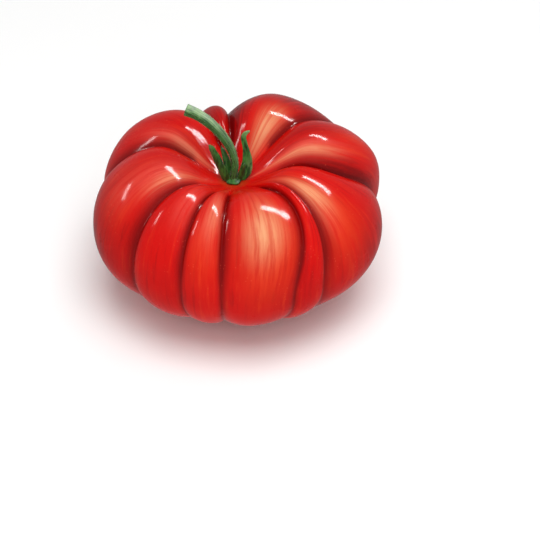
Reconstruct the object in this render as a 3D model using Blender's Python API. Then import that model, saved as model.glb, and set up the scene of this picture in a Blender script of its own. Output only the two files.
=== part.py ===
"""A ribbed beefsteak tomato, picked with a length of its stem, at its real size.

The fruit is one solid of ten unequal lobes that run from the stem basin on top to the blossom scar
underneath, and it rests on the flattened undersides of its lobes. The calyx, a small disc with its
sepals, lies in the basin, and the bent stem stands on the calyx.

Lengths are in millimetres until a mesh is finished. +Z is up, +X is the fruit's right as it is looked
at from the front, and the front faces -Y. Azimuths are in degrees, counterclockwise from +X.
"""

import math
from typing import NamedTuple

import bmesh
import bpy
from mathutils import Matrix, Vector

MM = 0.001

# The fruit about its stem: its reach to the sides, the front and the back, the level where it is widest,
# and how far its crest and its underside lie from that level. A lower fullness makes that half boxier.
SIDE_REACH = 57.0
FRONT_REACH = 52.0
BACK_REACH = 57.0
WIDEST_Z = 33.4
CREST_HEIGHT = 36.5
UNDERSIDE_DEPTH = 34.4
FULLNESS = 0.79
UNDERSIDE_FULLNESS = 1.05

# The basin that the calyx lies in, and the dimple of the blossom scar.
BASIN_DEPTH = 17.7
BASIN_RADIUS = 19.0
BASIN_SHARPNESS = 2.3
SCAR_DEPTH = 1.6
SCAR_RADIUS = 5.0

# A cleft starts beside the calyx and is deepest on the shoulder. These shares of that depth are left at
# the widest level and underneath, where it ends beside the scar. The rest are shares of the reach.
CLEFT_AT_SIDE = 0.6
CLEFT_UNDERNEATH = 0.3
CLEFT_START, CLEFT_WHOLE = 0.09, 0.40
LOBE_ROUNDNESS = 0.44
LOBE_BLEND = 1.2

# The mesh of the fruit: rings from pole to pole, crowded towards both poles.
RINGS = 38
POLE_CROWDING = 1.8


class Lobe(NamedTuple):
    """One lobe of the fruit, and the cleft on its clockwise side.

    cleft_top and cleft_side are that cleft's azimuths at the basin and at the widest level, and
    cleft_depth is its depth. The lobe stands out sideways by swell and up by rise.
    """

    cleft_top: float
    cleft_side: float
    cleft_depth: float
    swell: float
    rise: float
    columns: int


LOBES = (
    Lobe(-4.0, 13.0, 6.0, 8.0, 4.0, 9),
    Lobe(41.0, 39.5, 4.4, 7.8, 3.6, 11),
    Lobe(94.0, 94.5, 4.4, -0.2, -0.8, 6),
    Lobe(109.0, 109.0, 4.4, 5.6, 1.0, 12),
    Lobe(158.0, 166.0, 4.6, -0.2, 0.4, 12),
    Lobe(216.0, 222.5, 3.8, -0.4, -2.0, 8),
    Lobe(244.0, 247.0, 2.9, -0.4, -2.8, 6),
    Lobe(264.0, 265.0, 3.3, 1.2, -2.4, 9),
    Lobe(314.0, 297.0, 2.6, 1.2, -1.6, 4),
    Lobe(320.0, 310.0, 1.7, 2.7, -0.6, 13),
)
COLUMNS = sum(lobe.columns for lobe in LOBES)

# The calyx: a disc that follows the basin at a small clearance, with a flat boss for the stem.
CLEARANCE = 0.4
DISC_RADIUS = 3.2
DISC_THICKNESS = 1.1
BOSS_RADIUS = 2.1
BOSS_HEIGHT = 0.5
DISC_SIDES = 24


class Sepal(NamedTuple):
    """One sepal: the azimuth that its back faces, and its middle line from its root to its tip.

    Each point of the line is the right, back and up from the top of the disc, and the sepal's width.
    """

    facing: float
    line: tuple


SEPALS = (
    Sepal(
        74.0,
        (
            ((3.0, 0.5, -0.3), 2.0),
            ((4.9, 1.0, 3.4), 4.2),
            ((5.5, 2.0, 7.1), 3.6),
            ((5.1, 3.2, 10.4), 2.9),
            ((4.3, 4.4, 13.4), 2.1),
            ((4.0, 5.2, 15.6), 1.6),
            ((4.6, 5.8, 17.3), 1.4),
            ((6.4, 6.3, 18.1), 1.0),
        ),
    ),
    Sepal(
        290.0,
        (
            ((2.9, -0.8, -0.3), 1.6),
            ((3.6, -1.0, 2.9), 2.5),
            ((4.0, -1.2, 5.6), 2.0),
            ((4.5, -1.3, 7.9), 1.0),
        ),
    ),
    Sepal(
        95.0,
        (
            ((0.2, 2.9, -0.3), 2.0),
            ((0.1, 4.1, 2.4), 2.9),
            ((-0.1, 5.5, 4.6), 2.3),
            ((-0.6, 7.2, 6.2), 1.0),
        ),
    ),
    Sepal(
        118.0,
        (
            ((-1.9, 2.4, -0.3), 1.8),
            ((-2.4, 3.0, 2.9), 3.0),
            ((-3.0, 3.7, 6.0), 2.8),
            ((-4.0, 4.7, 9.0), 2.3),
            ((-5.0, 5.7, 11.8), 1.2),
        ),
    ),
    Sepal(
        252.0,
        (
            ((-3.0, -0.5, -0.3), 1.6),
            ((-4.1, -0.4, 3.3), 3.3),
            ((-5.4, 0.2, 6.8), 3.1),
            ((-6.8, 1.0, 10.0), 2.9),
            ((-8.0, 1.9, 12.6), 2.6),
            ((-9.1, 2.7, 14.5), 1.5),
        ),
    ),
)
SEPAL_THICKNESS = 0.9
SEPAL_STEPS = 2
SEPAL_FOLD = 0.22

# The stem's centreline above the boss, as right, back and up, each with the stem's radius there.
STEM_POINTS = (
    ((0.0, 0.0, 0.0), 1.6),
    ((0.3, 0.1, 2.6), 1.45),
    ((0.5, 0.5, 6.0), 1.5),
    ((-0.8, 1.4, 11.8), 1.7),
    ((-4.0, 2.9, 17.4), 1.9),
    ((-8.9, 4.8, 22.3), 2.1),
    ((-14.0, 6.6, 25.3), 2.25),
    ((-18.3, 7.8, 26.7), 2.4),
)
STEM_STEPS = 4
STEM_SIDES = 14


def mix(first, second, share):
    """The value that lies at that share of the way from first to second."""
    return first + (second - first) * share


def smooth_step(low, high, value):
    """0 up to low and 1 from high on, with a smooth rise between them."""
    share = min(1.0, max(0.0, (value - low) / (high - low)))
    return share * share * (3.0 - 2.0 * share)


def lobe_at(column):
    """The lobe that a mesh column lies in, and how far across it the column is, from 0 to 1.

    Columns crowd towards the clefts, and each cleft has a column of its own.
    """
    column = column % COLUMNS
    for index, lobe in enumerate(LOBES):
        if column < lobe.columns:
            even = column / lobe.columns
            return index, mix(even, 0.5 - 0.5 * math.cos(math.pi * even), 0.6)
        column -= lobe.columns
    raise ValueError(column)


def across(index, share, of_lobe):
    """A value of the lobe, which falls to the lower neighbour's value at each of its two clefts."""
    own = of_lobe(LOBES[index])
    step = -1 if share < 0.5 else 1
    neighbour = of_lobe(LOBES[(index + step) % len(LOBES)])
    return mix(min(own, neighbour), own, math.sin(math.pi * share) ** LOBE_BLEND)


def cleft_azimuth(index, polar):
    """The azimuth of the cleft before a lobe, which bends between the basin and the widest level."""
    turns, place = divmod(index, len(LOBES))
    lobe = LOBES[place]
    bend = smooth_step(0.12 * math.pi, 0.52 * math.pi, polar)
    return 360.0 * turns + mix(lobe.cleft_top, lobe.cleft_side, bend)


def crest(index, share, azimuth, polar):
    """Radius and height of the fruit there before its clefts are sunk in."""
    depth = BACK_REACH if math.sin(azimuth) > 0.0 else FRONT_REACH
    widest = math.hypot(SIDE_REACH * math.cos(azimuth), depth * math.sin(azimuth))
    widest += across(index, share, lambda lobe: lobe.swell)
    top = polar < math.pi / 2.0
    reach = max(0.0, math.sin(polar)) ** (FULLNESS if top else UNDERSIDE_FULLNESS)
    radius = widest * reach
    if top:
        rise = across(index, share, lambda lobe: lobe.rise) * smooth_step(0.15, 0.6, reach)
        basin = BASIN_DEPTH * math.exp(-((radius / BASIN_RADIUS) ** BASIN_SHARPNESS))
        return radius, WIDEST_Z + (CREST_HEIGHT + rise) * math.cos(polar) - basin
    scar = SCAR_DEPTH * math.exp(-((radius / SCAR_RADIUS) ** 2))
    return radius, WIDEST_Z + UNDERSIDE_DEPTH * math.cos(polar) + scar


def cleft_share(polar):
    """How much of its full depth a cleft has at a polar angle."""
    reach = math.sin(polar) ** FULLNESS
    if polar < math.pi / 2.0:
        return smooth_step(CLEFT_START, CLEFT_WHOLE, reach) * mix(1.0, CLEFT_AT_SIDE, reach**5)
    kept = mix(CLEFT_UNDERNEATH, CLEFT_AT_SIDE, smooth_step(0.45, 1.0, reach))
    return kept * smooth_step(0.10, 0.35, reach)


def fruit_point(column, polar):
    """The point of the fruit's skin on a mesh column, at an angle from the upright."""
    index, share = lobe_at(column)
    azimuth = math.radians(mix(cleft_azimuth(index, polar), cleft_azimuth(index + 1, polar), share))
    small = 0.002
    inner = crest(index, share, azimuth, polar - small)
    outer = crest(index, share, azimuth, polar + small)
    along = math.hypot(outer[0] - inner[0], outer[1] - inner[1])
    normal = ((inner[1] - outer[1]) / along, (outer[0] - inner[0]) / along)
    next_lobe = LOBES[(index + 1) % len(LOBES)]
    depth = mix(LOBES[index].cleft_depth, next_lobe.cleft_depth, share)
    depth *= (1.0 - math.sin(math.pi * share) ** LOBE_ROUNDNESS) * cleft_share(polar)
    radius, height = crest(index, share, azimuth, polar)
    radius -= normal[0] * depth
    height -= normal[1] * depth
    return Vector((radius * math.cos(azimuth), radius * math.sin(azimuth), max(height, 0.0)))


def basin_height(radius):
    """Height of the basin's floor at a radius within the calyx."""
    reach = (radius / SIDE_REACH) ** (1.0 / FULLNESS)
    crown = WIDEST_Z + CREST_HEIGHT * math.sqrt(1.0 - reach * reach)
    return crown - BASIN_DEPTH * math.exp(-((radius / BASIN_RADIUS) ** BASIN_SHARPNESS))


def material(name, colour, roughness):
    """A plain material with a linear colour."""
    made = bpy.data.materials.new(name)
    made.use_nodes = True
    shader = made.node_tree.nodes["Principled BSDF"]
    shader.inputs["Base Color"].default_value = (*colour, 1.0)
    shader.inputs["Roughness"].default_value = roughness
    shader.inputs["Metallic"].default_value = 0.0
    return made


def add_object(name, built, finish):
    """Turns a bmesh in millimetres into an object of the scene, in metres."""
    bmesh.ops.recalc_face_normals(built, faces=built.faces[:])
    built.transform(Matrix.Scale(MM, 4))
    mesh = bpy.data.meshes.new(name)
    built.to_mesh(mesh)
    built.free()
    mesh.materials.append(finish)
    mesh.shade_smooth()
    made = bpy.data.objects.new(name, mesh)
    bpy.context.scene.collection.objects.link(made)
    return made


def build_fruit(finish):
    """The lobed fruit, from a sphere whose every point is moved to the fruit's skin."""
    built = bmesh.new()
    bmesh.ops.create_uvsphere(built, u_segments=COLUMNS, v_segments=RINGS, radius=1.0)
    for vert in built.verts:
        latitude = math.asin(max(-1.0, min(1.0, vert.co.z)))
        from_pole = 1.0 - abs(latitude) / (math.pi / 2.0)
        polar = math.pi / 2.0 * max(0.0, from_pole) ** POLE_CROWDING
        polar = polar if latitude > 0.0 else math.pi - polar
        if from_pole < 1e-3:
            vert.co = Vector((0.0, 0.0, crest(0, 0.0, 0.0, polar)[1]))
            continue
        turn = math.atan2(vert.co.y, vert.co.x) / math.tau
        vert.co = fruit_point(round(turn * COLUMNS), polar)
    return add_object("fruit", built, finish)


def disc_profile():
    """Outline of the calyx disc as radius and height, from the axis underneath to the axis on top."""
    radii = [DISC_RADIUS * step / 4.0 for step in range(5)]
    under = [(radius, basin_height(radius) + CLEARANCE) for radius in radii]
    rim_z = under[-1][1]
    return under + [
        (DISC_RADIUS, rim_z + 0.5),
        (BOSS_RADIUS + 0.5, disc_top()),
        (BOSS_RADIUS, boss_top()),
        (0.0, boss_top()),
    ]


def disc_top():
    """Height of the calyx disc's upper face."""
    return basin_height(0.0) + CLEARANCE + DISC_THICKNESS


def boss_top():
    """Height of the flat boss that the stem stands on."""
    return disc_top() + BOSS_HEIGHT


def build_disc(finish):
    """The calyx disc, turned about the stem's axis."""
    built = bmesh.new()
    points = [built.verts.new((radius, 0.0, height)) for radius, height in disc_profile()]
    edges = [built.edges.new(pair) for pair in zip(points, points[1:])]
    bmesh.ops.spin(
        built,
        geom=points + edges,
        cent=(0.0, 0.0, 0.0),
        axis=(0.0, 0.0, 1.0),
        angle=math.tau,
        steps=DISC_SIDES,
        use_merge=True,
    )
    bmesh.ops.remove_doubles(built, verts=built.verts[:], dist=0.001)
    return add_object("calyx", built, finish)


def smooth_route(points, steps):
    """Points of a smooth curve through the given ones, each a vector with the radius as its fourth value."""
    ends = [2.0 * points[0] - points[1], *points, 2.0 * points[-1] - points[-2]]
    route = []
    for before, start, end, after in zip(ends, ends[1:], ends[2:], ends[3:]):
        for step in range(steps):
            share = step / steps
            pull = start * 2.0 + (end - before) * share
            pull += (before * 2.0 - start * 5.0 + end * 4.0 - after) * share**2
            pull += (start * 3.0 - before - end * 3.0 + after) * share**3
            route.append(pull / 2.0)
    return route + [points[-1]]


def build_sepal(sepal, finish):
    """One sepal: a thin blade, folded along its midrib, swept up its middle line and closed at its tip."""
    route = smooth_route([Vector((*place, width)) for place, width in sepal.line], SEPAL_STEPS)
    facing = math.radians(sepal.facing)
    back = Vector((math.cos(facing), math.sin(facing), 0.0))
    built = bmesh.new()
    rings = []
    for index, point in enumerate(route[:-1]):
        along = (route[index + 1].to_3d() - route[max(0, index - 1)].to_3d()).normalized()
        side = along.cross(back).normalized()
        outward = side.cross(along)
        half = side * point[3] / 2.0
        thick = outward * SEPAL_THICKNESS / 2.0 * mix(1.5, 0.9, index / len(route))
        fold = -outward * point[3] / 2.0 * SEPAL_FOLD
        middle = point.to_3d()
        corners = (middle + half + fold, middle + thick, middle - half + fold, middle - thick)
        rings.append([built.verts.new(corner) for corner in corners])
    for lower, upper in zip(rings, rings[1:]):
        for a in range(4):
            b = (a + 1) % 4
            built.faces.new((lower[a], lower[b], upper[b], upper[a]))
    tip = built.verts.new(route[-1].to_3d())
    built.faces.new(rings[0])
    for a in range(4):
        built.faces.new((rings[-1][a], rings[-1][(a + 1) % 4], tip))
    built.transform(Matrix.Translation((0.0, 0.0, disc_top())))
    return add_object("sepal", built, finish)


def build_calyx(finish):
    """The disc and its sepals, joined into one body."""
    disc = build_disc(finish)
    sepals = bpy.data.collections.new("sepals")
    bpy.context.scene.collection.children.link(sepals)
    for sepal in SEPALS:
        blade = build_sepal(sepal, finish)
        bpy.context.scene.collection.objects.unlink(blade)
        sepals.objects.link(blade)
    union = disc.modifiers.new("sepals", "BOOLEAN")
    union.operation = "UNION"
    union.operand_type = "COLLECTION"
    union.collection = sepals
    bpy.context.view_layer.update()
    graph = bpy.context.evaluated_depsgraph_get()
    joined = bpy.data.meshes.new_from_object(disc.evaluated_get(graph))
    disc.modifiers.remove(union)
    disc.data = joined
    for blade in list(sepals.objects):
        bpy.data.objects.remove(blade)
    bpy.data.collections.remove(sepals)
    return disc


def build_stem(finish):
    """The bent stem: rings of corners square to its route, with a flat foot and a flat cut end."""
    foot = boss_top() + CLEARANCE
    route = smooth_route([Vector((*place, radius)) for place, radius in STEM_POINTS], STEM_STEPS)
    built = bmesh.new()
    rings = []
    for index, point in enumerate(route):
        before = route[max(0, index - 1)].to_3d()
        after = route[min(len(route) - 1, index + 1)].to_3d()
        direction = (after - before).normalized() if index else Vector((0.0, 0.0, 1.0))
        side = direction.cross(Vector((0.0, 1.0, 0.0))).normalized()
        other = direction.cross(side)
        centre = point.to_3d() + Vector((0.0, 0.0, foot))
        ring = []
        for corner in range(STEM_SIDES):
            angle = math.tau * corner / STEM_SIDES
            offset = side * math.cos(angle) + other * math.sin(angle)
            ring.append(built.verts.new(centre + offset * point[3]))
        rings.append(ring)
    for lower, upper in zip(rings, rings[1:]):
        for a in range(STEM_SIDES):
            b = (a + 1) % STEM_SIDES
            built.faces.new((lower[a], lower[b], upper[b], upper[a]))
    built.faces.new(rings[0])
    built.faces.new(rings[-1])
    return add_object("stem", built, finish)


def centre_on_base(pieces):
    """Moves the meshes so that the middle of the part's width and depth stands over the origin."""
    points = [vert.co for piece in pieces for vert in piece.data.vertices]
    middle = [(min(p[axis] for p in points) + max(p[axis] for p in points)) / 2.0 for axis in (0, 1)]
    for piece in pieces:
        piece.data.transform(Matrix.Translation((-middle[0], -middle[1], 0.0)))


def main():
    """Clears the scene and builds the three pieces."""
    for old in list(bpy.data.objects):
        bpy.data.objects.remove(old)
    fruit = build_fruit(material("ripe_skin", (0.74, 0.03, 0.018), 0.22))
    calyx = build_calyx(material("sepal_green", (0.04, 0.11, 0.025), 0.6))
    stem = build_stem(material("stem_green", (0.2, 0.32, 0.12), 0.5))
    centre_on_base((fruit, calyx, stem))


main()
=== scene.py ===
"""The looks of a ribbed beefsteak tomato that was picked with a length of its stem.

The fruit, the calyx and the stem are modelled finely in place of their plain solids, each in its own
finish, on a pale floor in soft studio light. Sizes are in millimetres until a mesh is finished. +Z is up,
+X is the fruit's right as the camera sees it, and azimuths are in degrees, counterclockwise from +X.
"""

from __future__ import annotations

import logging
import math
import random
from dataclasses import dataclass, field
from enum import Enum

import bmesh
import bpy
from mathutils import Matrix, Vector, noise

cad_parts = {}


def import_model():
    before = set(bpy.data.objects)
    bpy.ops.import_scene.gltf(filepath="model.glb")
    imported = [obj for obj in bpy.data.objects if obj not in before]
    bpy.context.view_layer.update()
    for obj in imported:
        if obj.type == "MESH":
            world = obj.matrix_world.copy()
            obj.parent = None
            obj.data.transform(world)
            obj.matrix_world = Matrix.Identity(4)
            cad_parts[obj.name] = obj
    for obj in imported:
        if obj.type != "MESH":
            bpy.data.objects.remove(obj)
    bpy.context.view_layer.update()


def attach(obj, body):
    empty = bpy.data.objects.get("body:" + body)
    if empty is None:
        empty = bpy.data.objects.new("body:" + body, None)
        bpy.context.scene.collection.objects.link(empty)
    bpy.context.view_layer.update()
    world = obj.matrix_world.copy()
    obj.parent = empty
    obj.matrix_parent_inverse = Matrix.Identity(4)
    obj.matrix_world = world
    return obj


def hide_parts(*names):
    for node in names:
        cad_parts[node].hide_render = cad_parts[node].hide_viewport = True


LOG = logging.getLogger("tomato")
MM = 0.001
# The angle from the upright at the fruit's widest level.
LEVEL = math.pi / 2.0
# A Mix node's sockets for colours. Its sockets for plain values bear the same names.
MIX_UNDER, MIX_OVER, MIX_RESULT = 6, 7, 2
Pair = tuple[float, float]
Triple = tuple[float, float, float]
Colour = Triple
LinePoint = tuple[float, float, float, float]
Socket = bpy.types.NodeSocket


def mix(first: float, second: float, share: float) -> float:
    """The value that lies at that share of the way from first to second."""
    return first + (second - first) * share


def smooth_step(low: float, high: float, value: float) -> float:
    """0 up to low and 1 from high on, with a smooth rise between them."""
    share = min(1.0, max(0.0, (value - low) / (high - low)))
    return share * share * (3.0 - 2.0 * share)


def bell(value: float, middle: float, half: float) -> float:
    """A bell curve of height 1 about a middle, down to 0.37 at its half width."""
    return math.exp(-(((value - middle) / half) ** 2))


def paint(red: int, green: int, blue: int) -> Colour:
    """A colour as the screen shows it, in the linear values that a shader takes.

    Args:
        red: Red, from 0 to 255.
        green: Green, from 0 to 255.
        blue: Blue, from 0 to 255.

    Returns:
        The linear red, green and blue, from 0 to 1.
    """

    def linear(value: int) -> float:
        """One channel, by the screen's standard curve."""
        share = value / 255.0
        return share / 12.92 if share <= 0.04045 else ((share + 0.055) / 1.055) ** 2.4

    return linear(red), linear(green), linear(blue)


def smooth_route(points: list[Vector], steps: int) -> list[Vector]:
    """Points of a smooth curve through the given ones.

    Args:
        points: The points that it passes, of any number of values each.
        steps: How many points it gets for each span.

    Returns:
        The points of the curve, the last given one included.
    """
    ends = [2.0 * points[0] - points[1], *points, 2.0 * points[-1] - points[-2]]
    route = []
    for before, start, end, after in zip(ends, ends[1:], ends[2:], ends[3:]):
        for step in range(steps):
            share = step / steps
            pull = start * 2.0 + (end - before) * share
            pull += (before * 2.0 - start * 5.0 + end * 4.0 - after) * share**2
            pull += (start * 3.0 - before - end * 3.0 + after) * share**3
            route.append(pull / 2.0)
    return route + [points[-1]]


def turn_to(along: Vector) -> Matrix:
    """The turn that takes the upright to a direction."""
    return Vector((0.0, 0.0, 1.0)).rotation_difference(along).to_matrix().to_4x4()


def linked_object(name: str, built: bmesh.types.BMesh) -> bpy.types.Object:
    """Turns a bmesh in metres into a smoothly shaded object at the origin, and uses the bmesh up."""
    mesh = bpy.data.meshes.new(name)
    built.to_mesh(mesh)
    built.free()
    mesh.shade_smooth()
    made = bpy.data.objects.new(name, mesh)
    bpy.context.scene.collection.objects.link(made)
    return made


def finished_object(name: str, built: bmesh.types.BMesh, axis: Vector) -> bpy.types.Object:
    """Turns a bmesh in millimetres about the stem's axis into an object in metres.

    Args:
        name: The object's name.
        built: The mesh, which is used up.
        axis: Where the stem's axis stands on the base, in millimetres.

    Returns:
        The object, at the origin, with its place in its mesh.
    """
    bmesh.ops.recalc_face_normals(built, faces=built.faces[:])
    built.transform(Matrix.Scale(MM, 4) @ Matrix.Translation(axis))
    return linked_object(name, built)


class Graph:
    """A material's nodes, with a short call for each kind that the finishes use."""

    def __init__(self, name: str) -> None:
        """Starts a material with its shader alone."""
        self.material = bpy.data.materials.new(name)
        self.material.use_nodes = True
        self.tree = self.material.node_tree
        self.shader = self.tree.nodes["Principled BSDF"]
        self.coordinates = self.tree.nodes.new("ShaderNodeTexCoord")

    @property
    def place(self) -> Socket:
        """The Object coordinates, in metres."""
        return self.coordinates.outputs["Object"]

    def feed(self, socket: Socket, value: object) -> None:
        """Links a socket to another, or sets it to a plain value."""
        if isinstance(value, Socket):
            self.tree.links.new(value, socket)
        elif isinstance(value, tuple) and len(value) == 3 and socket.type == "RGBA":
            socket.default_value = (*value, 1.0)
        else:
            socket.default_value = value

    def set_uniform(self, values: dict[str, object]) -> None:
        """Puts plain values straight onto the shader's own sockets."""
        for name, value in values.items():
            self.shader.inputs[name].default_value = value

    def attribute(self, name: str, output: str = "Fac") -> Socket:
        """An attribute of the mesh, as one value or as the named output."""
        node = self.tree.nodes.new("ShaderNodeAttribute")
        node.attribute_name = name
        return node.outputs[output]

    def noise(self, vector: Socket, scale: float, detail: float = 2.0, rough: float = 0.5) -> Socket:
        """A noise pattern, about 0.5 on average."""
        node = self.tree.nodes.new("ShaderNodeTexNoise")
        self.feed(node.inputs["Vector"], vector)
        node.inputs["Scale"].default_value = scale
        node.inputs["Detail"].default_value = detail
        node.inputs["Roughness"].default_value = rough
        return node.outputs["Fac"]

    def streaks(self, vector: Socket, counts: Triple, detail: float = 3.0, rough: float = 0.5) -> Socket:
        """A noise pattern drawn out into streaks, with its own count of them along each axis."""
        node = self.tree.nodes.new("ShaderNodeMapping")
        self.feed(node.inputs["Vector"], vector)
        node.inputs["Scale"].default_value = counts
        return self.noise(node.outputs["Vector"], 1.0, detail, rough)

    def cells(self, vector: Socket, scale: float) -> Socket:
        """Distance to the nearest of many scattered points."""
        node = self.tree.nodes.new("ShaderNodeTexVoronoi")
        self.feed(node.inputs["Vector"], vector)
        node.inputs["Scale"].default_value = scale
        return node.outputs["Distance"]

    def fit(
        self, value: object, low: float, high: float, to_low: float = 0.0, to_high: float = 1.0
    ) -> Socket:
        """A value's range from low to high, laid smoothly onto another range."""
        node = self.tree.nodes.new("ShaderNodeMapRange")
        node.interpolation_type = "SMOOTHSTEP"
        self.feed(node.inputs["Value"], value)
        node.inputs["From Min"].default_value = low
        node.inputs["From Max"].default_value = high
        node.inputs["To Min"].default_value = to_low
        node.inputs["To Max"].default_value = to_high
        return node.outputs["Result"]

    def sum(self, first: object, second: object) -> Socket:
        """Two values added."""
        return self._maths("ADD", first, second)

    def product(self, first: object, second: object) -> Socket:
        """Two values multiplied."""
        return self._maths("MULTIPLY", first, second)

    def _maths(self, operation: str, first: object, second: object) -> Socket:
        """Two values through one operation."""
        node = self.tree.nodes.new("ShaderNodeMath")
        node.operation = operation
        self.feed(node.inputs[0], first)
        self.feed(node.inputs[1], second)
        return node.outputs["Value"]

    def blend(self, share: object, under: object, over: object) -> Socket:
        """Two colours mixed by a share of the second."""
        node = self.tree.nodes.new("ShaderNodeMix")
        node.data_type = "RGBA"
        self.feed(node.inputs["Factor"], share)
        self.feed(node.inputs[MIX_UNDER], under)
        self.feed(node.inputs[MIX_OVER], over)
        return node.outputs[MIX_RESULT]

    def bump(self, height: Socket, depth: float, before: Socket | None = None) -> Socket:
        """A normal from a height that is depth metres at 1, on top of another normal."""
        node = self.tree.nodes.new("ShaderNodeBump")
        node.inputs["Strength"].default_value = 1.0
        node.inputs["Distance"].default_value = depth
        self.feed(node.inputs["Height"], height)
        if before is not None:
            self.feed(node.inputs["Normal"], before)
        return node.outputs["Normal"]


@dataclass(frozen=True)
class RipeSkin:
    """The fruit's waxy skin: scarlet, with painted shade darkening its clefts and lower sides, painted light
    in orange and painted highlights in peach and rose.
    """

    scarlet: Colour = paint(204, 14, 10)
    crimson: Colour = paint(164, 8, 10)
    # The two darkest reds are painted shade, on the lower sides and in the clefts. Orange is the strokes'
    # own tone and also painted light where lobes face the light; peach and rose are painted highlights.
    shade_red: Colour = paint(120, 6, 10)
    cleft_shade_red: Colour = paint(104, 4, 6)
    orange: Colour = paint(220, 58, 26)
    peach_highlight: Colour = paint(226, 160, 116)
    rose_highlight: Colour = paint(220, 80, 68)
    speck: Colour = paint(226, 92, 66)
    cork: Colour = paint(150, 98, 58)
    green_shoulder: Colour = paint(128, 84, 34)

    def make(self) -> bpy.types.Material:
        """Builds the material, which reads the attributes that the fruit's mesh carries."""
        graph = Graph("ripe_skin")
        flow = graph.attribute("flow", "Vector")
        colour = self._painted_light(graph, flow, self._ground(graph, flow))
        # Painted shade: the skin is darkened towards the bottom of each cleft, where shade falls.
        shade = graph.fit(graph.attribute("cleft"), low=0.30, high=0.95, to_high=0.85)
        colour = graph.blend(shade, colour, self.cleft_shade_red)
        mottle = graph.noise(graph.place, scale=90.0, detail=3.0)
        roughness = graph.fit(mottle, low=0.3, high=0.7, to_low=0.24, to_high=0.36)
        graph.feed(graph.shader.inputs["Base Color"], self._marks(graph, flow, colour))
        graph.feed(graph.shader.inputs["Roughness"], roughness)
        graph.feed(graph.shader.inputs["Normal"], self._relief(graph, flow))
        graph.set_uniform(
            {
                "IOR": 1.06,
                "Subsurface Weight": 0.12,
                "Subsurface Radius": (1.0, 0.25, 0.12),
                "Subsurface Scale": 0.003,
                "Coat Weight": 0.3,
                "Coat IOR": 1.5,
                "Coat Roughness": 0.12,
            }
        )
        return graph.material

    def _ground(self, graph: Graph, flow: Socket) -> Socket:
        """Scarlet with crimson clouds, and long strokes of orange and crimson that run with the lobes."""
        clouds = graph.noise(graph.place, scale=26.0, detail=3.0)
        cloudy = graph.fit(clouds, low=0.42, high=0.72, to_high=0.5)
        strokes = graph.streaks(flow, (26.0, 26.0, 5.0), detail=4.0, rough=0.62)
        bright = graph.fit(strokes, low=0.52, high=0.78, to_high=0.55)
        dark = graph.fit(strokes, low=0.30, high=0.47, to_low=0.55, to_high=0.0)
        colour = graph.blend(cloudy, self.scarlet, self.crimson)
        return graph.blend(dark, graph.blend(bright, colour, self.orange), self.crimson)

    def _painted_light(self, graph: Graph, flow: Socket, colour: Socket) -> Socket:
        """Patches of painted light, painted highlight and painted shade, each broken up by strokes that run
        with the lobes.
        """
        broken = graph.streaks(flow, (34.0, 34.0, 5.0), detail=4.0, rough=0.66)
        torn = graph.fit(broken, low=0.34, high=0.60, to_low=0.4)
        # Each tone laid on: orange as painted light, peach and rose as painted highlights, deep red as
        # painted shade.
        for tone, tint in (
            (Tone.LIT_ORANGE, self.orange),
            (Tone.ROSE_HIGHLIGHT, self.rose_highlight),
            (Tone.PEACH_HIGHLIGHT, self.peach_highlight),
            (Tone.PAINTED_SHADE, self.shade_red),
        ):
            colour = graph.blend(graph.product(graph.attribute(tone.value), torn), colour, tint)
        return colour

    def _marks(self, graph: Graph, flow: Socket, colour: Socket) -> Socket:
        """Fine pale specks all over, a greenish ring around the calyx and the corky blossom scar."""
        dots = graph.cells(graph.place, scale=700.0)
        specks = graph.fit(dots, low=0.10, high=0.24, to_low=0.3, to_high=0.0)
        thinning = graph.fit(graph.noise(graph.place, scale=160.0), low=0.5, high=0.66)
        colour = graph.blend(graph.product(specks, thinning), colour, self.speck)
        rays = graph.streaks(flow, (9.0, 9.0, 3.0), rough=0.7)
        ring = graph.product(graph.attribute("collar"), graph.fit(rays, low=0.3, high=0.6, to_low=0.35))
        scar = graph.product(graph.attribute("scar"), graph.fit(rays, low=0.25, high=0.5, to_low=0.5))
        return graph.blend(scar, graph.blend(ring, colour, self.green_shoulder), self.cork)

    def _relief(self, graph: Graph, flow: Socket) -> Socket:
        """Faint long ripples in the skin, and a much finer peel."""
        ripples = graph.streaks(flow, (30.0, 30.0, 7.0))
        peel = graph.noise(graph.place, scale=1400.0)
        return graph.bump(peel, depth=0.000012, before=graph.bump(ripples, depth=0.00008))


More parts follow.
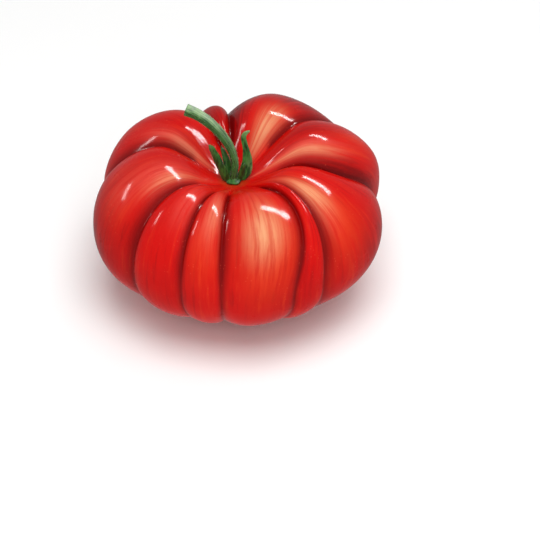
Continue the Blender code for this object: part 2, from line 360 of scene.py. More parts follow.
@dataclass(frozen=True)
class GreenTissue:
    """A matt green finish with streaks along the growth and a paler painted highlight, for calyx and stem.
    """

    name: str
    light: Colour
    dark: Colour
    painted_highlight: Colour
    flows: bool = False

    def make(self) -> bpy.types.Material:
        """Builds the material, with its streaks along the mesh's own flow where it carries one."""
        graph = Graph(self.name)
        if self.flows:
            source, counts = graph.attribute("flow", "Vector"), (6.5, 6.5, 0.07)
        else:
            source, counts = graph.place, (900.0, 900.0, 220.0)
        streaks = graph.streaks(source, counts, detail=4.0, rough=0.6)
        clouds = graph.noise(graph.place, scale=300.0, detail=3.0)
        share = graph.sum(graph.product(streaks, 0.7), graph.product(clouds, 0.3))
        colour = graph.blend(graph.fit(share, low=0.40, high=0.60), self.dark, self.light)
        # Painted highlight: paler green where the mesh's pale attribute is high.
        pale = graph.product(graph.attribute("pale"), graph.fit(share, low=0.42, high=0.56, to_low=0.15))
        roughness = graph.fit(clouds, low=0.3, high=0.7, to_low=0.45, to_high=0.65)
        graph.feed(graph.shader.inputs["Base Color"], graph.blend(pale, colour, self.painted_highlight))
        graph.feed(graph.shader.inputs["Roughness"], roughness)
        graph.feed(graph.shader.inputs["Normal"], graph.bump(streaks, depth=0.00012))
        graph.set_uniform(
            {
                "Subsurface Weight": 0.08,
                "Subsurface Radius": (0.5, 0.8, 0.2),
                "Subsurface Scale": 0.0012,
                "Sheen Weight": 0.08,
                "Sheen Roughness": 0.4,
            }
        )
        return graph.material


class Tone(Enum):
    """What painted light on the skin is painted with: orange light, peach and rose highlights and deep red
    shade; each is an attribute of the fruit's mesh.
    """

    LIT_ORANGE = "orange"
    PEACH_HIGHLIGHT = "peach_highlight"
    ROSE_HIGHLIGHT = "rose_highlight"
    PAINTED_SHADE = "painted_shade"


@dataclass(frozen=True)
class PaintedLight:
    """A soft patch of painted light, painted highlight or painted shade on one lobe, in another tone.

    across and along are its middle: the share of the way across the lobe, and the angle from the upright
    in degrees. half_across and half_along are its half sizes in the same measures.
    """

    tone: Tone
    lobe: str
    across: float
    along: float
    half_across: float
    half_along: float
    strength: float


@dataclass(frozen=True)
class Lobe:
    """One lobe of the fruit, and the cleft on its clockwise side.

    cleft_top and cleft_side are that cleft's azimuths at the basin and at the widest level. The lobe
    stands out sideways by swell and up by rise.
    """

    name: str
    cleft_top: float
    cleft_side: float
    cleft_depth: float
    swell: float
    rise: float
    columns: int


@dataclass
class Fruit:
    """The lobed body: its sizes, and the methods that build its mesh and dress it.

    A span is where a smooth change starts and ends. bend_span is in half turns from the upright. rise_span
    and the cleft spans are in reach, which is 0 on the stem's axis and 1 at the widest level. edge_span is
    in shares of a cleft's depth, and the other spans are radii. row_crowding draws the mesh's rows to the
    basin and the scar, and column_crowding its columns to the clefts. folds are counts and heights.
    """

    side_reach: float = 57.0
    front_reach: float = 52.0
    back_reach: float = 57.0
    widest_z: float = 33.4
    crest_height: float = 36.5
    underside_depth: float = 34.4
    fullness: float = 0.79
    underside_fullness: float = 1.05
    basin_depth: float = 17.7
    basin_radius: float = 19.0
    basin_sharpness: float = 2.3
    scar_depth: float = 1.6
    scar_radius: float = 5.0
    cleft_at_side: float = 0.6
    cleft_underneath: float = 0.3
    roundness: float = 0.44
    blending: float = 1.2
    floor_of_cleft: float = 0.05
    rows: int = 200
    columns_each: int = 4
    row_crowding: float = 1.35
    column_crowding: float = 0.6
    slope_step: float = 0.002
    bend_span: Pair = (0.12, 0.52)
    rise_span: Pair = (0.15, 0.60)
    cleft_top_span: Pair = (0.09, 0.40)
    cleft_low_span: Pair = (0.10, 0.35)
    cleft_turn_span: Pair = (0.45, 1.0)
    lump_height: float = 0.3
    lump_size: float = 17.0
    lump_span: Pair = (7.0, 22.0)
    folds: tuple[Pair, ...] = ((9.0, 0.14), (21.0, 0.05))
    fold_length: float = 90.0
    fold_span: Pair = (6.0, 12.0)
    fold_fade_span: Pair = (20.0, 45.0)
    fold_kept: float = 0.35
    edge_span: Pair = (0.25, 0.75)
    collar_span: Pair = (3.5, 7.5)
    collar_strength: float = 0.4
    scar_span: Pair = (1.6, 4.2)
    lobes: tuple[Lobe, ...] = (
        Lobe("right_back", -4.0, 13.0, 6.0, 8.0, 4.0, 9),
        Lobe("back_right", 41.0, 39.5, 4.4, 7.8, 3.6, 11),
        Lobe("back_small", 94.0, 94.5, 4.4, -0.2, -0.8, 6),
        Lobe("back_left", 109.0, 109.0, 4.4, 5.6, 1.0, 12),
        Lobe("left", 158.0, 166.0, 4.6, -0.2, 0.4, 12),
        Lobe("front_left", 216.0, 222.5, 3.8, -0.4, -2.0, 8),
        Lobe("front_narrow", 244.0, 247.0, 2.9, -0.4, -2.8, 6),
        Lobe("front", 264.0, 265.0, 3.3, 1.2, -2.4, 9),
        Lobe("front_fold", 314.0, 297.0, 2.6, 1.2, -1.6, 4),
        Lobe("right", 320.0, 310.0, 1.7, 2.7, -0.6, 13),
    )
    # Patches of painted light on the skin: orange on lobes that face the light, peach and rose as painted
    # highlights, deep red as painted shade.
    painted_lights: tuple[PaintedLight, ...] = (
        # Painted highlights: pale peach and rose halos on the lobes' shoulders, around the shine.
        PaintedLight(Tone.PEACH_HIGHLIGHT, "right", 0.19, 34.0, 0.11, 13.0, 0.95),
        PaintedLight(Tone.PEACH_HIGHLIGHT, "back_right", 0.30, 15.0, 0.17, 9.0, 0.9),
        PaintedLight(Tone.PEACH_HIGHLIGHT, "back_left", 0.88, 14.0, 0.09, 9.0, 0.4),
        PaintedLight(Tone.PEACH_HIGHLIGHT, "front", 0.52, 45.0, 0.20, 15.0, 1.0),
        PaintedLight(Tone.PEACH_HIGHLIGHT, "front_narrow", 0.68, 34.0, 0.2, 12.0, 0.35),
        PaintedLight(Tone.PEACH_HIGHLIGHT, "right_back", 0.21, 22.0, 0.05, 13.0, 0.8),
        PaintedLight(Tone.PEACH_HIGHLIGHT, "left", 0.82, 24.0, 0.07, 12.0, 0.5),
        PaintedLight(Tone.ROSE_HIGHLIGHT, "right_back", 0.24, 22.0, 0.13, 18.0, 0.95),
        PaintedLight(Tone.ROSE_HIGHLIGHT, "left", 0.74, 26.0, 0.20, 16.0, 0.8),
        PaintedLight(Tone.ROSE_HIGHLIGHT, "left", 0.60, 50.0, 0.14, 14.0, 0.4),
        PaintedLight(Tone.ROSE_HIGHLIGHT, "front_left", 0.74, 30.0, 0.24, 15.0, 0.6),
        PaintedLight(Tone.ROSE_HIGHLIGHT, "front_narrow", 0.60, 34.0, 0.35, 18.0, 0.6),
        PaintedLight(Tone.ROSE_HIGHLIGHT, "back_left", 0.85, 22.0, 0.11, 18.0, 0.85),
        PaintedLight(Tone.ROSE_HIGHLIGHT, "front", 0.32, 34.0, 0.08, 16.0, 0.35),
        PaintedLight(Tone.ROSE_HIGHLIGHT, "right", 0.12, 46.0, 0.10, 14.0, 0.5),
        # Painted light: orange where the lobes face the light.
        PaintedLight(Tone.LIT_ORANGE, "front", 0.60, 62.0, 0.34, 26.0, 0.8),
        PaintedLight(Tone.LIT_ORANGE, "right", 0.22, 52.0, 0.20, 26.0, 0.85),
        PaintedLight(Tone.LIT_ORANGE, "right_back", 0.44, 50.0, 0.14, 14.0, 0.5),
        PaintedLight(Tone.LIT_ORANGE, "front_narrow", 0.55, 52.0, 0.4, 24.0, 0.6),
        PaintedLight(Tone.LIT_ORANGE, "back_right", 0.30, 20.0, 0.16, 9.0, 0.4),
        PaintedLight(Tone.LIT_ORANGE, "left", 0.60, 52.0, 0.22, 20.0, 0.35),
        # Painted shade: deep red on the lower sides, away from the light, and in shadow bands beside the
        # clefts and under the stem.
        PaintedLight(Tone.PAINTED_SHADE, "left", 0.36, 90.0, 0.5, 28.0, 0.8),
        PaintedLight(Tone.PAINTED_SHADE, "back_right", 0.4, 40.0, 0.6, 14.0, 0.55),
        PaintedLight(Tone.PAINTED_SHADE, "back_small", 0.5, 60.0, 0.8, 60.0, 0.8),
        PaintedLight(Tone.PAINTED_SHADE, "back_right", 0.92, 26.0, 0.16, 40.0, 0.95),
        PaintedLight(Tone.PAINTED_SHADE, "back_right", 0.5, 62.0, 0.8, 22.0, 0.6),
        PaintedLight(Tone.PAINTED_SHADE, "right_back", 0.04, 42.0, 0.10, 30.0, 0.9),
        PaintedLight(Tone.PAINTED_SHADE, "right_back", 0.62, 24.0, 0.22, 14.0, 0.6),
        PaintedLight(Tone.PAINTED_SHADE, "right_back", 0.5, 92.0, 0.8, 26.0, 0.5),
        PaintedLight(Tone.PAINTED_SHADE, "back_left", 0.3, 80.0, 0.8, 30.0, 0.55),
        PaintedLight(Tone.PAINTED_SHADE, "right", 0.62, 88.0, 0.4, 22.0, 0.6),
    )
    axis: Vector = field(default_factory=lambda: Vector((0.0, 0.0, 0.0)))

    def lobe_at(self, column: int) -> tuple[int, float]:
        """The lobe that a mesh column lies in, and the share of the way across it.

        Args:
            column: The column, counted counterclockwise from the first lobe's cleft.

        Returns:
            The lobe's index and the share, from 0 at its cleft to 1 at the next one's.
        """
        for index, lobe in enumerate(self.lobes):
            width = lobe.columns * self.columns_each
            if column < width:
                even = column / width
                return index, mix(even, 0.5 - 0.5 * math.cos(math.pi * even), self.column_crowding)
            column -= width
        raise ValueError(column)

    def cleft_azimuth(self, index: int, polar: float) -> float:
        """Azimuth of the cleft before a lobe, which bends between the basin and the widest level."""
        turns, place = divmod(index, len(self.lobes))
        lobe = self.lobes[place]
        bend = smooth_step(*self.bend_span, polar / math.pi)
        return 360.0 * turns + mix(lobe.cleft_top, lobe.cleft_side, bend)

    def across(self, index: int, share: float, quality: str) -> float:
        """A lobe's swell or rise, which falls at each of its clefts to its neighbour's if that is lower."""
        own = getattr(self.lobes[index], quality)
        step = -1 if share < 0.5 else 1
        neighbour = getattr(self.lobes[(index + step) % len(self.lobes)], quality)
        return mix(min(own, neighbour), own, math.sin(math.pi * share) ** self.blending)

    def crest(self, swell: float, rise: float, azimuth: float, polar: float) -> tuple[float, float]:
        """Radius and height of the fruit before its clefts are sunk in.

        Args:
            swell: How far the skin stands out sideways there.
            rise: How far it stands up there.
            azimuth: The azimuth, in radians.
            polar: The angle from the upright, in radians.

        Returns:
            The radius from the stem's axis and the height.
        """
        depth = self.back_reach if math.sin(azimuth) > 0.0 else self.front_reach
        widest = math.hypot(self.side_reach * math.cos(azimuth), depth * math.sin(azimuth)) + swell
        top = polar < LEVEL
        reach = max(0.0, math.sin(polar)) ** (self.fullness if top else self.underside_fullness)
        radius = widest * reach
        if top:
            height = (self.crest_height + rise * smooth_step(*self.rise_span, reach)) * math.cos(polar)
            return radius, self.widest_z + height - self.basin_drop(radius)
        scar = self.scar_depth * math.exp(-((radius / self.scar_radius) ** 2))
        return radius, self.widest_z + self.underside_depth * math.cos(polar) + scar

    def basin_drop(self, radius: float) -> float:
        """How far the basin sinks the skin at a radius."""
        return self.basin_depth * math.exp(-((radius / self.basin_radius) ** self.basin_sharpness))

    def cleft_share(self, polar: float) -> float:
        """How much of its full depth a cleft has at an angle from the upright."""
        reach = math.sin(polar) ** self.fullness
        if polar < LEVEL:
            return smooth_step(*self.cleft_top_span, reach) * mix(1.0, self.cleft_at_side, reach**5)
        kept = mix(self.cleft_underneath, self.cleft_at_side, smooth_step(*self.cleft_turn_span, reach))
        return kept * smooth_step(*self.cleft_low_span, reach)

    def cleft_form(self, share: float) -> float:
        """Depth of a cleft's cross-section at a share across the lobe, 1 at its bottom."""
        low = self.floor_of_cleft**self.roundness
        rise = (math.sin(math.pi * share) ** 2 + self.floor_of_cleft**2) ** (self.roundness / 2.0)
        top = (1.0 + self.floor_of_cleft**2) ** (self.roundness / 2.0)
        return 1.0 - (rise - low) / (top - low)

    def skin_point(self, index: int, share: float, polar: float) -> Vector:
        """The point of the skin at a share across a lobe and an angle from the upright."""
        before, after = self.cleft_azimuth(index, polar), self.cleft_azimuth(index + 1, polar)
        azimuth = math.radians(mix(before, after, share))
        swell, rise = self.across(index, share, "swell"), self.across(index, share, "rise")
        inner = self.crest(swell, rise, azimuth, polar - self.slope_step)
        outer = self.crest(swell, rise, azimuth, polar + self.slope_step)
        along = math.hypot(outer[0] - inner[0], outer[1] - inner[1])
        normal = ((inner[1] - outer[1]) / along, (outer[0] - inner[0]) / along)
        following = self.lobes[(index + 1) % len(self.lobes)]
        depth = mix(self.lobes[index].cleft_depth, following.cleft_depth, share)
        depth *= self.cleft_form(share) * self.cleft_share(polar)
        radius, height = self.crest(swell, rise, azimuth, polar)
        depth -= self.unevenness(azimuth, radius, height)
        radius -= normal[0] * depth
        height -= normal[1] * depth
        return Vector((radius * math.cos(azimuth), radius * math.sin(azimuth), max(height, 0.0)))

    def unevenness(self, azimuth: float, radius: float, height: float) -> float:
        """How far the grown skin stands above its smooth form: broad lumps and fine radial folds."""
        place = Vector((radius * math.cos(azimuth), radius * math.sin(azimuth), height))
        broad = noise.noise(place / self.lump_size) * self.lump_height * smooth_step(*self.lump_span, radius)
        around = Vector((math.cos(azimuth), math.sin(azimuth), height / self.fold_length))
        folds = sum(noise.noise(around * count) * tall for count, tall in self.folds)
        kept = mix(1.0, self.fold_kept, smooth_step(*self.fold_fade_span, radius))
        return broad + folds * smooth_step(*self.fold_span, radius) * kept

    def build(self) -> bpy.types.Object:
        """Builds the fruit's mesh from a sphere whose every point is moved to the skin.

        Returns:
            The fruit's object. axis is then where the stem's axis stands on the base.
        """
        columns = sum(lobe.columns for lobe in self.lobes) * self.columns_each
        spots = [self.lobe_at(column) for column in range(columns)]
        built = bmesh.new()
        bmesh.ops.create_uvsphere(built, u_segments=columns, v_segments=self.rows, radius=1.0)
        layers = {name: built.verts.layers.float.new(name) for name in ("cleft", "collar", "scar")}
        layers |= {tone.value: built.verts.layers.float.new(tone.value) for tone in Tone}
        flow = built.verts.layers.float_vector.new("flow")
        for vert in built.verts:
            latitude = math.asin(max(-1.0, min(1.0, vert.co.z)))
            row = round((1.0 - abs(latitude) / LEVEL) * self.rows / 2.0)
            polar = LEVEL * (2.0 * row / self.rows) ** self.row_crowding
            polar = polar if latitude > 0.0 else math.pi - polar
            column = round(math.atan2(vert.co.y, vert.co.x) / math.tau * columns) % columns
            index, share = spots[column]
            around = math.tau * column / columns
            vert[flow] = (math.cos(around), math.sin(around), polar / math.pi)
            if row:
                vert.co = self.skin_point(index, share, polar)
            else:
                vert.co = Vector((0.0, 0.0, self.crest(0.0, 0.0, 0.0, polar)[1]))
            self._mark(vert, layers, index, share, polar)
        points = [vert.co for vert in built.verts]
        for side in (0, 1):
            low, high = min(p[side] for p in points), max(p[side] for p in points)
            self.axis[side] = -(low + high) / 2.0
        return finished_object("tomato_fruit", built, self.axis)

    def _mark(
        self, vert: bmesh.types.BMVert, layers: dict[str, object], index: int, share: float, polar: float
    ) -> None:
        """Writes how near a point is to a cleft, for its painted shade, to the calyx and to the scar, and
        how strongly each painted light lies on it.
        """
        radius, top = vert.co.xy.length, polar < LEVEL
        collar = (1.0 - smooth_step(*self.collar_span, radius)) * self.collar_strength
        sunk = smooth_step(*self.edge_span, self.cleft_share(polar))
        # The cleft mark carries the painted shade that darkens each cleft.
        vert[layers["cleft"]] = self.cleft_form(share) * sunk
        vert[layers["collar"]] = collar if top else 0.0
        vert[layers["scar"]] = 0.0 if top else 1.0 - smooth_step(*self.scar_span, radius)
        name, angle = self.lobes[index].name, math.degrees(polar)
        for tone in Tone:
            vert[layers[tone.value]] = sum(
                painted.strength
                * bell(share, painted.across, painted.half_across)
                * bell(angle, painted.along, painted.half_along)
                for painted in self.painted_lights
                if painted.tone is tone and painted.lobe == name
            )

    def dress(self, piece: bpy.types.Object) -> None:
        """Gives the fruit its skin, and puts it in the place of its plain solid."""
        piece.data.materials.append(RipeSkin().make())
        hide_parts("fruit")
        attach(piece, "root")

    def basin_height(self, radius: float) -> float:
        """Height of the basin's floor at a radius within the calyx."""
        reach = (radius / self.side_reach) ** (1.0 / self.fullness)
        crown = self.widest_z + self.crest_height * math.sqrt(1.0 - reach * reach)
        return crown - self.basin_drop(radius)


@dataclass(frozen=True)
class Sepal:
    """One sepal: the azimuth that its back faces, and its middle line from its root to its tip.

    Each point of the line is its place right, back and up from the disc's top, and the sepal's width.
    """

    facing: float
    line: tuple[LinePoint, ...]


@dataclass
class Calyx:
    """The green disc in the basin, with its sepals.

    rim is how far out and up from the disc's lower edge its upper one runs, and boss_edge how far in and
    down the boss is rounded. The waves of a sepal's edge are wave_turns radians along it. The voxel is
    what the disc and sepals are melted into one skin with, and ease how that skin is smoothed. The values
    from flank_span to tips_pale say where the calyx is paler, and by how much.
    """

    fruit: Fruit
    clearance: float = 0.4
    disc_radius: float = 3.2
    disc_rings: int = 4
    disc_steps: int = 72
    thickness: float = 1.1
    rim: tuple[Pair, ...] = ((0.15, 0.3), (-0.1, 0.6))
    boss_radius: float = 2.1
    boss_height: float = 0.5
    boss_foot: float = 0.5
    boss_edge: Pair = (0.3, 0.15)
    rib_height: float = 0.06
    rib_phase: float = 0.7
    rib_span: Pair = (1.8, 3.0)
    blade: float = 0.85
    blade_columns: int = 10
    line_steps: int = 6
    fold: float = 0.22
    fold_curve: float = 1.4
    tip_start: float = 0.86
    tip_kept: float = 0.02
    wave_height: float = 0.16
    wave_turns: float = 15.0
    wave_slant: float = 1.3
    voxel: float = 0.17
    ease: tuple[float, int] = (0.5, 3)
    # Painted highlight: the calyx is paler on the right sepal's outer flank and on the tallest and left
    # tips.
    flank_span: Pair = (4.3, 6.4)
    flank_bell: Pair = (4.5, 3.6)
    flank_pale: float = 0.6
    top_span: Pair = (14.5, 18.0)
    left_span: Pair = (7.2, 9.4)
    tips_pale: Pair = (0.5, 0.35)
    sepals: tuple[Sepal, ...] = (
        Sepal(
            74.0,
            (
                (2.7, 0.5, -0.4, 2.9),
                (4.8, 1.0, 3.4, 4.1),
                (5.5, 2.0, 7.1, 3.3),
                (5.1, 3.2, 10.4, 2.5),
                (4.3, 4.4, 13.4, 1.8),
                (4.0, 5.2, 15.6, 1.5),
                (4.6, 5.8, 17.3, 1.3),
                (6.5, 6.3, 18.2, 0.7),
            ),
        ),
        Sepal(
            290.0,
            (
                (2.7, -0.8, -0.4, 2.4),
                (3.6, -1.0, 2.9, 2.8),
                (4.0, -1.2, 5.6, 2.2),
                (4.6, -1.3, 8.0, 0.8),
            ),
        ),
        Sepal(
            95.0,
            (
                (0.2, 2.7, -0.4, 2.8),
                (0.1, 4.0, 2.4, 3.1),
                (-0.1, 5.5, 4.6, 2.5),
                (-0.6, 7.3, 6.3, 0.8),
            ),
        ),
        Sepal(
            118.0,
            (
                (-1.8, 2.2, -0.4, 2.4),
                (-2.4, 3.0, 2.9, 3.2),
                (-3.0, 3.7, 6.0, 3.0),
                (-4.0, 4.7, 9.0, 2.4),
                (-5.0, 5.7, 11.9, 0.9),
            ),
        ),
        Sepal(
            252.0,
            (
                (-2.7, -0.5, -0.4, 2.6),
                (-4.0, -0.4, 3.3, 3.2),
                (-5.4, 0.2, 6.8, 2.9),
                (-6.8, 1.0, 10.0, 2.6),
                (-8.0, 1.9, 12.6, 2.1),
                (-9.2, 2.7, 14.6, 1.1),
            ),
        ),
    )

    @property
    def disc_top(self) -> float:
        """Height of the disc's upper face."""
        return self.fruit.basin_height(0.0) + self.clearance + self.thickness

    @property
    def boss_top(self) -> float:
        """Height of the boss that the stem stands on."""
        return self.disc_top + self.boss_height

    def _disc(self) -> bmesh.types.BMesh:
        """The disc, spun about the stem's axis, with a low rib towards each sepal."""
        radii = [self.disc_radius * ring / self.disc_rings for ring in range(self.disc_rings + 1)]
        profile = [(radius, self.fruit.basin_height(radius) + self.clearance) for radius in radii]
        low_edge, (inward, down) = profile[-1][1], self.boss_edge
        profile += [(self.disc_radius + out, low_edge + up) for out, up in self.rim]
        profile += [(self.boss_radius + self.boss_foot, self.disc_top)]
        profile += [(self.boss_radius, self.boss_top - down)]
        profile += [(self.boss_radius - inward, self.boss_top), (0.0, self.boss_top)]
        built = bmesh.new()
        points = [built.verts.new((radius, 0.0, height)) for radius, height in profile]
        edges = [built.edges.new(pair) for pair in zip(points, points[1:])]
        bmesh.ops.spin(
            built,
            geom=points + edges,
            cent=(0.0, 0.0, 0.0),
            axis=(0.0, 0.0, 1.0),
            angle=math.tau,
            steps=self.disc_steps,
            use_merge=True,
        )
        bmesh.ops.remove_doubles(built, verts=built.verts[:], dist=0.001)
        for vert in built.verts:
            azimuth = math.atan2(vert.co.y, vert.co.x)
            rib = self.rib_height * math.sin(len(self.sepals) * azimuth + self.rib_phase)
            growth = 1.0 + rib * smooth_step(*self.rib_span, vert.co.xy.length)
            vert.co.x *= growth
            vert.co.y *= growth
        return built

    def _sepal(self, sepal: Sepal) -> bmesh.types.BMesh:
        """One sepal: a grid bent along its middle line, folded at its midrib and given its thickness."""
        route = smooth_route([Vector(point) for point in sepal.line], self.line_steps)
        last = len(route) - 1
        facing = math.radians(sepal.facing)
        back = Vector((math.cos(facing), math.sin(facing), 0.0))
        built = bmesh.new()
        bmesh.ops.create_grid(built, x_segments=last, y_segments=self.blade_columns, size=0.5)
        for vert in built.verts:
            step, across = round((vert.co.x + 0.5) * last), vert.co.y * 2.0
            ahead, behind = route[min(last, step + 1)].to_3d(), route[max(0, step - 1)].to_3d()
            along = (ahead - behind).normalized()
            side = along.cross(back).normalized()
            outward = side.cross(along)
            share = step / last
            rounding = math.sqrt(1.0 + self.tip_kept - smooth_step(self.tip_start, 1.0, share))
            half = route[step][3] / 2.0 * rounding
            wave = math.sin(share * self.wave_turns + across * self.wave_slant + facing)
            wave *= self.wave_height * abs(across) * min(1.0, half)
            lift = half * self.fold * 2.0 * abs(across) ** self.fold_curve + wave
            vert.co = route[step].to_3d() + side * half * across - outward * lift
        bmesh.ops.recalc_face_normals(built, faces=built.faces[:])
        bmesh.ops.solidify(built, geom=built.faces[:], thickness=self.blade)
        built.transform(Matrix.Translation((0.0, 0.0, self.disc_top)))
        return built

    def build(self) -> bpy.types.Object:
        """Builds the disc and the sepals, and melts them into one skin.

        Returns:
            The calyx's object.
        """
        whole = self._disc()
        for sepal in self.sepals:
            blade = self._sepal(sepal)
            part = bpy.data.meshes.new("blade")
            blade.to_mesh(part)
            blade.free()
            whole.from_mesh(part)
            bpy.data.meshes.remove(part)
        piece = finished_object("tomato_calyx", whole, self.fruit.axis)
        melt = piece.modifiers.new("melt", "REMESH")
        melt.mode = "VOXEL"
        melt.voxel_size = self.voxel * MM
        ease = piece.modifiers.new("ease", "SMOOTH")
        ease.factor, ease.iterations = self.ease
        bpy.context.view_layer.update()
        graph = bpy.context.evaluated_depsgraph_get()
        melted = bpy.data.meshes.new_from_object(piece.evaluated_get(graph))
        piece.modifiers.clear()
        piece.data = melted
        melted.shade_smooth()
        self._mark(melted)
        return piece

    def _mark(self, mesh: bpy.types.Mesh) -> None:
        """Writes where the calyx is paler with a painted highlight: the right sepal's outer flank, and the
        tallest and left tips.
        """
        pale = mesh.attributes.new("pale", "FLOAT", "POINT")
        tallest, left = self.tips_pale
        for index, vert in enumerate(mesh.vertices):
            place = vert.co / MM - self.fruit.axis
            height = place.z - self.disc_top
            flank = smooth_step(*self.flank_span, place.x) * bell(height, *self.flank_bell) * self.flank_pale
            tips = smooth_step(*self.top_span, height) * tallest
            tips += smooth_step(*self.left_span, -place.x) * left
            pale.data[index].value = max(flank, tips)

    def dress(self, piece: bpy.types.Object) -> None:
        """Gives the calyx its green, and puts it in the place of its plain solid."""
        # The third green is the calyx's painted highlight.
        green = GreenTissue("sepal_green", paint(58, 118, 44), paint(10, 60, 18), paint(128, 152, 100))
        piece.data.materials.clear()
        piece.data.materials.append(green.make())
        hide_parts("calyx")
        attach(piece, "root")


@dataclass
class Stem:
    """The bent length of stem, ribbed along its length, with its cut end.

    Each of its points is its place from the stem's foot, and the stem's radius. The heights of ribs and
    lumps are shares of that radius. The values named pale say where the stem is paler, and by how much.
    """

    calyx: Calyx
    sides: int = 40
    steps: int = 10
    ribs: int = 5
    rib_height: float = 0.045
    rib_twist: float = 0.03
    lump_height: float = 0.03
    lump_turns: float = 1.7
    lump_step: float = 0.11
    cut_rim: float = 0.25
    cut_slope: float = 0.35
    cut_hollow: float = 0.35
    # Painted highlight: the stem is paler on the side that faces up towards the light, most near its cut
    # end.
    pale_side: Triple = (0.25, -0.35, 0.8)
    pale_span: Pair = (0.25, 0.95)
    pale_length: float = 20.0
    pale_below: float = 0.45
    points: tuple[LinePoint, ...] = (
        (0.0, 0.0, -0.6, 2.0),
        (0.0, 0.0, 0.2, 1.62),
        (0.3, 0.1, 2.6, 1.42),
        (0.5, 0.5, 6.0, 1.46),
        (-0.8, 1.4, 11.8, 1.68),
        (-4.0, 2.9, 17.4, 1.88),
        (-8.9, 4.8, 22.3, 2.08),
        (-14.0, 6.6, 25.3, 2.22),
        (-18.3, 7.8, 26.7, 2.38),
    )

    def build(self) -> bpy.types.Object:
        """Builds the stem: rings square to its route, joined, with a hollowed cut face.

        Returns:
            The stem's object.
        """
        foot = self.calyx.boss_top + self.calyx.clearance
        route = smooth_route([Vector(point) for point in self.points], self.steps)
        built = bmesh.new()
        flow = built.verts.layers.float_vector.new("flow")
        rings: list[list[bmesh.types.BMEdge]] = []
        for index, point in enumerate(route):
            before = route[max(0, index - 1)].to_3d()
            after = route[min(len(route) - 1, index + 1)].to_3d()
            along = (after - before).normalized() if index else Vector((0.0, 0.0, 1.0))
            place = Matrix.Translation(point.to_3d() + Vector((0.0, 0.0, foot))) @ turn_to(along)
            ring = bmesh.ops.create_circle(
                built, cap_ends=False, segments=self.sides, radius=point[3], matrix=place
            )["verts"]
            centre = place.translation
            for corner, vert in enumerate(ring):
                angle = math.tau * corner / self.sides
                spot = Vector((math.cos(angle), math.sin(angle), index * self.lump_step))
                wave = self.rib_height * math.cos(self.ribs * angle + index * self.rib_twist)
                wave += self.lump_height * noise.noise(spot * self.lump_turns)
                vert.co = centre + (vert.co - centre) * (1.0 + wave)
                vert[flow] = (math.cos(angle), math.sin(angle), float(index))
            rings.append(list({edge for vert in ring for edge in vert.link_edges}))
        for lower, upper in zip(rings, rings[1:]):
            bmesh.ops.bridge_loops(built, edges=lower + upper)
        self._close(built, rings[0], 0.0)
        self._close(built, rings[-1], self.cut_hollow)
        piece = finished_object("tomato_stem", built, self.calyx.fruit.axis)
        self._mark(piece.data)
        return piece

    def _close(self, built: bmesh.types.BMesh, loop: list[bmesh.types.BMEdge], hollow: float) -> None:
        """Closes an end of the stem, with a rim and a face sunk in by hollow."""
        loop = [edge for edge in loop if edge.is_valid and edge.is_boundary]
        face = bmesh.ops.contextual_create(built, geom=loop)["faces"][0]
        if hollow:
            face.normal_update()
            for width, depth in ((self.cut_rim, 0.0), (self.cut_slope, -hollow)):
                bmesh.ops.inset_region(
                    built, faces=[face], thickness=width, depth=depth, use_even_offset=True
                )
            face.material_index = 1
            for edge in face.edges:
                for near in edge.link_faces:
                    near.material_index = 1
        bmesh.ops.poke(built, faces=[face])

    def _mark(self, mesh: bpy.types.Mesh) -> None:
        """Writes the stem's painted highlight: paler on its upper side, most towards its cut end."""
        pale = mesh.attributes.new("pale", "FLOAT", "POINT")
        side = Vector(self.pale_side)
        top = max(vert.co.z for vert in mesh.vertices)
        for index, vert in enumerate(mesh.vertices):
            upward = smooth_step(*self.pale_span, vert.normal.dot(side))
            near_end = smooth_step(top - self.pale_length * MM, top, vert.co.z)
            pale.data[index].value = upward * mix(self.pale_below, 1.0, near_end)

    def dress(self, piece: bpy.types.Object) -> None:
        """Gives the stem its green and its pale cut face, in the place of its plain solid."""
        # The pale green below is the stem's painted highlight.
        painted_highlight = paint(136, 168, 114)
        bark = GreenTissue("stem_green", paint(54, 122, 50), paint(12, 60, 22), painted_highlight, flows=True)
        pith = GreenTissue("cut_pith", paint(206, 210, 160), paint(160, 172, 112), paint(214, 214, 176))
        piece.data.materials.append(bark.make())
        piece.data.materials.append(pith.make())
        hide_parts("stem")
        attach(piece, "root")


@dataclass
class Hairs:
    """Short fine hairs on the stem, seeded so that each run grows the same ones.

    leaning is the most that each axis of a hair's direction differs from its face's.
    """

    count: int = 900
    length: Pair = (0.25, 0.6)
    root_radius: float = 0.032
    tip_radius: float = 0.006
    root_depth: float = 0.05
    leaning: float = 0.5
    seed: int = 7

    def grow(self, skin: bpy.types.Object) -> bpy.types.Object:
        """Grows hairs out of a piece's faces.

        Args:
            skin: The piece that they grow on.

        Returns:
            The hairs, as an object of their own.
        """
        chance = random.Random(self.seed)
        faces = [face for face in skin.data.polygons if face.material_index == 0]
        weights = [face.area for face in faces]
        built = bmesh.new()
        for face in chance.choices(faces, weights=weights, k=self.count):
            long = chance.uniform(*self.length) * MM
            lean = Vector([chance.uniform(-self.leaning, self.leaning) for _ in range(3)])
            along = (face.normal + lean).normalized()
            middle = face.center + along * (long / 2.0 - self.root_depth * MM)
            bmesh.ops.create_cone(
                built,
                cap_ends=True,
                segments=3,
                radius1=self.root_radius * MM,
                radius2=self.tip_radius * MM,
                depth=long,
                matrix=Matrix.Translation(middle) @ turn_to(along),
            )
        return linked_object("stem_hairs", built)

    def dress(self, piece: bpy.types.Object) -> None:
        """Gives the hairs their pale finish and lets them ride with the stem."""
        fuzz = GreenTissue("hair_pale", paint(212, 220, 190), paint(188, 200, 160), paint(220, 224, 200))
        piece.data.materials.append(fuzz.make())
        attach(piece, "root")


class Duty(Enum):
    """What a light is for: the soft light on every surface, or the shine on glossy ones."""

    FILL = "fill"
    SHINE = "shine"


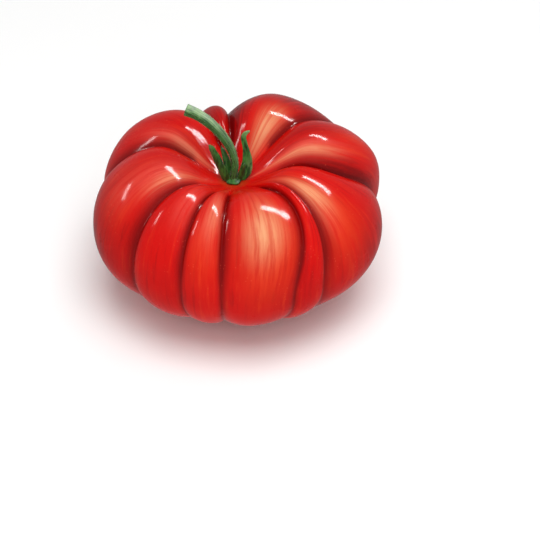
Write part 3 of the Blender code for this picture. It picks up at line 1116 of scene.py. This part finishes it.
@dataclass(frozen=True)
class Softbox:
    """An area light: where it hangs as seen from the fruit, the way that it is long, its size and power.

    Its distance and size are in metres and its power is in watts.
    """

    name: str
    duty: Duty
    towards: Triple
    distance: float
    along: Triple
    length: float
    width: float
    power: float

    def place(self, target: Vector) -> None:
        """Hangs the light so that it faces the target."""
        lamp = bpy.data.lights.new(self.name, "AREA")
        lamp.shape = "RECTANGLE"
        lamp.size, lamp.size_y = self.length, self.width
        lamp.energy = self.power
        holder = bpy.data.objects.new(self.name, lamp)
        holder.visible_diffuse = self.duty is Duty.FILL
        holder.visible_glossy = self.duty is Duty.SHINE
        direction = Vector(self.towards).normalized()
        over = direction.cross(Vector(self.along)).normalized()
        turn = Matrix((over.cross(direction), over, direction)).transposed().to_4x4()
        holder.matrix_world = Matrix.Translation(target + direction * self.distance) @ turn
        bpy.context.scene.collection.objects.link(holder)


@dataclass
class Studio:
    """The camera, the pale floor and the soft lights. The lens and sensor are in millimetres.

    The other sizes are in metres: the camera looks at aim, the lights face target, and the floor reaches
    floor_reach each way.
    """

    elevation: float = 40.0
    distance: float = 0.815
    lens: float = 135.0
    sensor: float = 36.0
    aim: Triple = (0.0129, -0.0154, 0.0157)
    target: Triple = (0.0, 0.0, 0.034)
    floor_reach: float = 2.5
    floor_white: Colour = (0.93, 0.93, 0.925)
    floor_roughness: float = 0.8
    daylight: float = 0.42
    lights: tuple[Softbox, ...] = (
        Softbox("overhead", Duty.FILL, (0.08, -0.20, 0.95), 1.2, (1.0, 0.0, 0.0), 0.9, 0.9, 11.5),
        Softbox("front", Duty.FILL, (0.15, -0.80, 0.55), 1.2, (1.0, 0.0, 0.0), 0.9, 0.7, 3.2),
        Softbox("right_shine", Duty.SHINE, (0.40, 0.29, 0.87), 0.72, (0.67, -0.30, -0.25), 0.50, 0.11, 10.5),
        Softbox("left_shine", Duty.SHINE, (-0.80, 0.22, 0.50), 0.72, (0.2, 0.5, 0.3), 0.18, 0.07, 1.0),
    )

    def set_camera(self) -> None:
        """Makes the camera, which looks down on the fruit's front."""
        data = bpy.data.cameras.new("camera")
        data.lens, data.sensor_width = self.lens, self.sensor
        camera = bpy.data.objects.new("camera", data)
        lift = math.radians(self.elevation)
        back = Vector((0.0, -math.cos(lift), math.sin(lift)))
        camera.location = Vector(self.aim) + back * self.distance
        camera.rotation_euler = back.to_track_quat("Z", "Y").to_euler()
        bpy.context.scene.collection.objects.link(camera)
        bpy.context.scene.camera = camera

    def set_room(self) -> None:
        """Lays the floor, hangs the lights and sets the daylight."""
        built = bmesh.new()
        bmesh.ops.create_grid(built, x_segments=2, y_segments=2, size=self.floor_reach)
        floor = linked_object("floor", built)
        paper = Graph("floor_paper")
        paper.set_uniform({"Base Color": (*self.floor_white, 1.0), "Roughness": self.floor_roughness})
        floor.data.materials.append(paper.material)
        floor.visible_glossy = False
        world = bpy.data.worlds.new("daylight")
        world.use_nodes = True
        sky = world.node_tree.nodes["Background"]
        sky.inputs["Color"].default_value = (1.0, 1.0, 1.0, 1.0)
        sky.inputs["Strength"].default_value = self.daylight
        bpy.context.scene.world = world
        for light in self.lights:
            light.place(Vector(self.target))
        bpy.context.scene.view_settings.view_transform = "Standard"


def main() -> None:
    """Builds and dresses the pieces in order, and reports each."""
    logging.basicConfig(level=logging.INFO, format="%(name)s: %(message)s", force=True)
    studio = Studio()
    studio.set_camera()
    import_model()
    fruit = Fruit()
    body = fruit.build()
    fruit.dress(body)
    LOG.info("fruit: %d faces", len(body.data.polygons))
    calyx = Calyx(fruit)
    crown = calyx.build()
    calyx.dress(crown)
    LOG.info("calyx: %d faces", len(crown.data.polygons))
    stem = Stem(calyx)
    stalk = stem.build()
    stem.dress(stalk)
    LOG.info("stem: %d faces", len(stalk.data.polygons))
    hairs = Hairs()
    fuzz = hairs.grow(stalk)
    hairs.dress(fuzz)
    LOG.info("hairs: %d faces", len(fuzz.data.polygons))
    studio.set_room()


if __name__ == "__main__":
    main()
